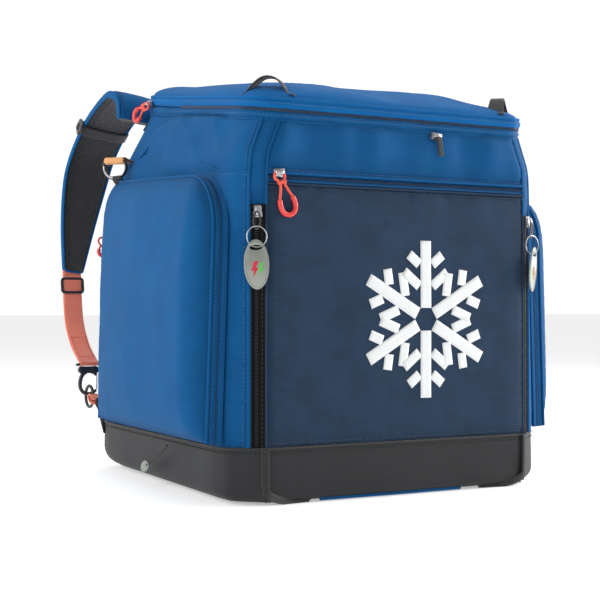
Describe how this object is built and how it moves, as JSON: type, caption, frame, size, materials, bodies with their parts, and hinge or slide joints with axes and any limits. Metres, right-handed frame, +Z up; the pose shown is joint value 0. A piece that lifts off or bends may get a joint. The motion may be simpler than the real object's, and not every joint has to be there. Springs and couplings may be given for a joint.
{
  "type": "ski boot bag",
  "caption": "Boxy ski boot backpack with a domed zip lid, bulging side pockets, a flat front pocket, tagged corner zips and clip-on shoulder straps.",
  "frame": {"origin": "middle of the main compartment's floor plan, on the surface that the bag stands on", "axes": "+Z up, -Y towards the front pocket, +X to the right seen from the front"},
  "size_m": [0.4712, 0.5356, 0.4713],
  "materials": {
    "bag_blue": "woven polyester",
    "bag_navy": "woven polyester",
    "zip_blue": "woven zip tape",
    "panel_black": "woven polyester",
    "coated_black": "coated tarpaulin",
    "board_grey": "stiffener sheet",
    "mesh_black": "spacer mesh",
    "webbing_black": "ribbed webbing",
    "webbing_orange": "ribbed webbing",
    "webbing_tan": "ribbed webbing",
    "metal_silver": "satin",
    "cord_red": "cord with a moulded grip",
    "pull_dark": "satin",
    "tag_metal": "brushed",
    "cord_black": "braided",
    "plastic_black": "moulded",
    "heat_fabric": "quilted",
    "heater_plastic": "moulded"
  },
  "bodies": {
    "bag": {"bottom_patch": "bag_blue", "base_tub": "coated_black", "base_board": "board_grey", "front_wall": "bag_navy", "front_pocket_panel": "bag_navy", "front_zip_tape": "zip_blue", "front_top_strip": "bag_blue", "back_wall": "panel_black", "back_pad": "mesh_black", "mouth_tape": "zip_blue", "strap_root": "webbing_black", "heat_mats": "heat_fabric", "heater_unit": "heater_plastic", "power_inlets": "heater_plastic", "corner_panel_left": "panel_black", "corner_panel_right": "panel_black", "side_panel_left": "bag_blue", "side_panel_right": "bag_blue", "pocket_band_left": "zip_blue", "pocket_band_right": "zip_blue", "strap_pad_left": "mesh_black", "strap_pad_right": "mesh_black", "strap_webbing_left": "webbing_orange", "strap_webbing_right": "webbing_orange", "strap_keeper_left": "webbing_black", "strap_keeper_right": "webbing_black", "lower_anchor_left": "plastic_black", "lower_anchor_right": "plastic_black", "dee_loop_left": "webbing_tan", "dee_loop_right": "webbing_tan"},
    "lid": {"lid_shell": "bag_blue", "lid_zip": "zip_blue", "grab_loop_left": "webbing_black", "grab_loop_right": "webbing_black"},
    "front_slider": {"front_slider": "metal_silver"},
    "front_pull": {"front_pull": "cord_red"},
    "seam_tab": {"seam_tab": "metal_silver"},
    "base_cord": {"base_cord": "cord_black"},
    "pocket_flap_left": {"pocket_flap_left": "bag_blue"},
    "pocket_flap_right": {"pocket_flap_right": "bag_blue"},
    "corner_slider_left": {"corner_slider_left": "metal_silver"},
    "corner_slider_right": {"corner_slider_right": "metal_silver"},
    "corner_pull_left": {"corner_pull_left": "pull_dark"},
    "corner_pull_right": {"corner_pull_right": "pull_dark"},
    "corner_tag_left": {"corner_tag_left": "tag_metal"},
    "corner_tag_right": {"corner_tag_right": "tag_metal"},
    "lid_slider_left": {"lid_slider_left": "metal_silver"},
    "lid_slider_right": {"lid_slider_right": "metal_silver"},
    "lid_pull_left": {"lid_pull_left": "cord_red"},
    "lid_pull_right": {"lid_pull_right": "cord_red"},
    "pocket_slider_left": {"pocket_slider_left": "metal_silver"},
    "pocket_slider_right": {"pocket_slider_right": "metal_silver"},
    "triglide_left": {"triglide_left": "plastic_black"},
    "triglide_right": {"triglide_right": "plastic_black"},
    "snap_hook_left": {"snap_hook_left": "plastic_black"},
    "snap_hook_right": {"snap_hook_right": "plastic_black"},
    "hook_gate_left": {"hook_gate_left": "metal_silver"},
    "hook_gate_right": {"hook_gate_right": "metal_silver"},
    "dee_ring_left": {"dee_ring_left": "plastic_black"},
    "dee_ring_right": {"dee_ring_right": "plastic_black"}
  },
  "joints": [
    {"name": "lid_hinge", "type": "hinge", "parent": "bag", "child": "lid", "pos_m": [0, 0.13, 0.448], "axis": [-1, 0, 0], "range_deg": [0, 90]},
    {"name": "pocket_flap_hinge_left", "type": "hinge", "parent": "bag", "child": "pocket_flap_left", "pos_m": [-0.21534, -0.1833, 0.06253], "axis": [-0.0454, -0.999, 0], "range_deg": [0, 90]},
    {"name": "pocket_flap_hinge_right", "type": "hinge", "parent": "bag", "child": "pocket_flap_right", "pos_m": [0.21534, -0.1833, 0.06253], "axis": [-0.0454, 0.999, 0], "range_deg": [0, 90]},
    {"name": "front_slider_travel", "type": "slide", "parent": "bag", "child": "front_slider", "axis": [1, 0, 0], "range_m": [0, 0.3]},
    {"name": "front_pull_swing", "type": "hinge", "parent": "front_slider", "child": "front_pull", "pos_m": [-0.151, -0.21775, 0.3342], "axis": [-1, 0, 0], "range_deg": [0, 100]},
    {"name": "corner_slider_travel_left", "type": "slide", "parent": "bag", "child": "corner_slider_left", "axis": [0, 0, -1], "range_m": [0, 0.2]},
    {"name": "corner_slider_travel_right", "type": "slide", "parent": "bag", "child": "corner_slider_right", "axis": [0, 0, -1], "range_m": [0, 0.2]},
    {"name": "corner_pull_swing_left", "type": "hinge", "parent": "corner_slider_left", "child": "corner_pull_left", "pos_m": [-0.17403, -0.21247, 0.2952], "axis": [-0.8232, 0.5677, 0], "range_deg": [0, 90]},
    {"name": "corner_pull_swing_right", "type": "hinge", "parent": "corner_slider_right", "child": "corner_pull_right", "pos_m": [0.17403, -0.21247, 0.2952], "axis": [-0.8232, -0.5677, 0], "range_deg": [0, 90]},
    {"name": "corner_tag_swing_left", "type": "hinge", "parent": "corner_pull_left", "child": "corner_tag_left", "pos_m": [-0.17403, -0.21247, 0.281], "axis": [-0.8232, 0.5677, 0], "range_deg": [0, 45]},
    {"name": "corner_tag_swing_right", "type": "hinge", "parent": "corner_pull_right", "child": "corner_tag_right", "pos_m": [0.17403, -0.21247, 0.281], "axis": [-0.8232, -0.5677, 0], "range_deg": [0, 45]},
    {"name": "lid_slider_travel_left", "type": "slide", "parent": "bag", "child": "lid_slider_left", "axis": [-0.0686, -0.9876, -0.1415], "range_m": [0, 0.26]},
    {"name": "lid_slider_travel_right", "type": "slide", "parent": "bag", "child": "lid_slider_right", "axis": [0.0686, -0.9876, -0.1415], "range_m": [0, 0.26]},
    {"name": "lid_pull_swing_left", "type": "hinge", "parent": "lid_slider_left", "child": "lid_pull_left", "pos_m": [-0.16318, 0.09164, 0.44378], "axis": [-0.0693, 0.9976, 0], "range_deg": [0, 90]},
    {"name": "lid_pull_swing_right", "type": "hinge", "parent": "lid_slider_right", "child": "lid_pull_right", "pos_m": [0.16318, 0.09164, 0.44378], "axis": [-0.0693, -0.9976, 0], "range_deg": [0, 90]},
    {"name": "seam_tab_travel", "type": "slide", "parent": "bag", "child": "seam_tab", "axis": [1, 0, 0], "range_m": [-0.15, 0.1]},
    {"name": "pocket_slider_travel_left", "type": "slide", "parent": "bag", "child": "pocket_slider_left", "axis": [-0.0342, 0.0016, -0.9994], "range_m": [0, 0.18]},
    {"name": "pocket_slider_travel_right", "type": "slide", "parent": "bag", "child": "pocket_slider_right", "axis": [0.0342, 0.0016, -0.9994], "range_m": [0, 0.18]},
    {"name": "triglide_travel_left", "type": "slide", "parent": "bag", "child": "triglide_left", "axis": [0, -0.1414, -0.9899], "range_m": [0, 0.018]},
    {"name": "triglide_travel_right", "type": "slide", "parent": "bag", "child": "triglide_right", "axis": [0, -0.1414, -0.9899], "range_m": [0, 0.018]},
    {"name": "hook_swivel_left", "type": "hinge", "parent": "bag", "child": "snap_hook_left", "pos_m": [-0.181, 0.243, 0.124], "axis": [0, 0, 1], "range_deg": [-20, 20]},
    {"name": "hook_swivel_right", "type": "hinge", "parent": "bag", "child": "snap_hook_right", "pos_m": [0.181, 0.243, 0.124], "axis": [0, 0, -1], "range_deg": [-20, 20]},
    {"name": "gate_hinge_left", "type": "hinge", "parent": "snap_hook_left", "child": "hook_gate_left", "pos_m": [-0.1695, 0.243, 0.1135], "axis": [0, 1, 0], "range_deg": [0, 18], "stiffness_Nm_per_rad": 0.01, "springref_deg": -8.59},
    {"name": "gate_hinge_right", "type": "hinge", "parent": "snap_hook_right", "child": "hook_gate_right", "pos_m": [0.1695, 0.243, 0.1135], "axis": [0, -1, 0], "range_deg": [0, 18], "stiffness_Nm_per_rad": 0.01, "springref_deg": -8.59},
    {"name": "dee_swing_left", "type": "hinge", "parent": "bag", "child": "dee_ring_left", "pos_m": [-0.19, 0.128, 0.378], "axis": [-0.6691, 0.7431, 0], "range_deg": [0, 70]},
    {"name": "dee_swing_right", "type": "hinge", "parent": "bag", "child": "dee_ring_right", "pos_m": [0.19, 0.128, 0.378], "axis": [-0.6691, -0.7431, 0], "range_deg": [0, 70]},
    {"name": "base_cord_swing", "type": "hinge", "parent": "bag", "child": "base_cord", "pos_m": [-0.205, -0.062, 0.05], "axis": [1, 0, 0], "range_deg": [0, 40]}
  ]
}
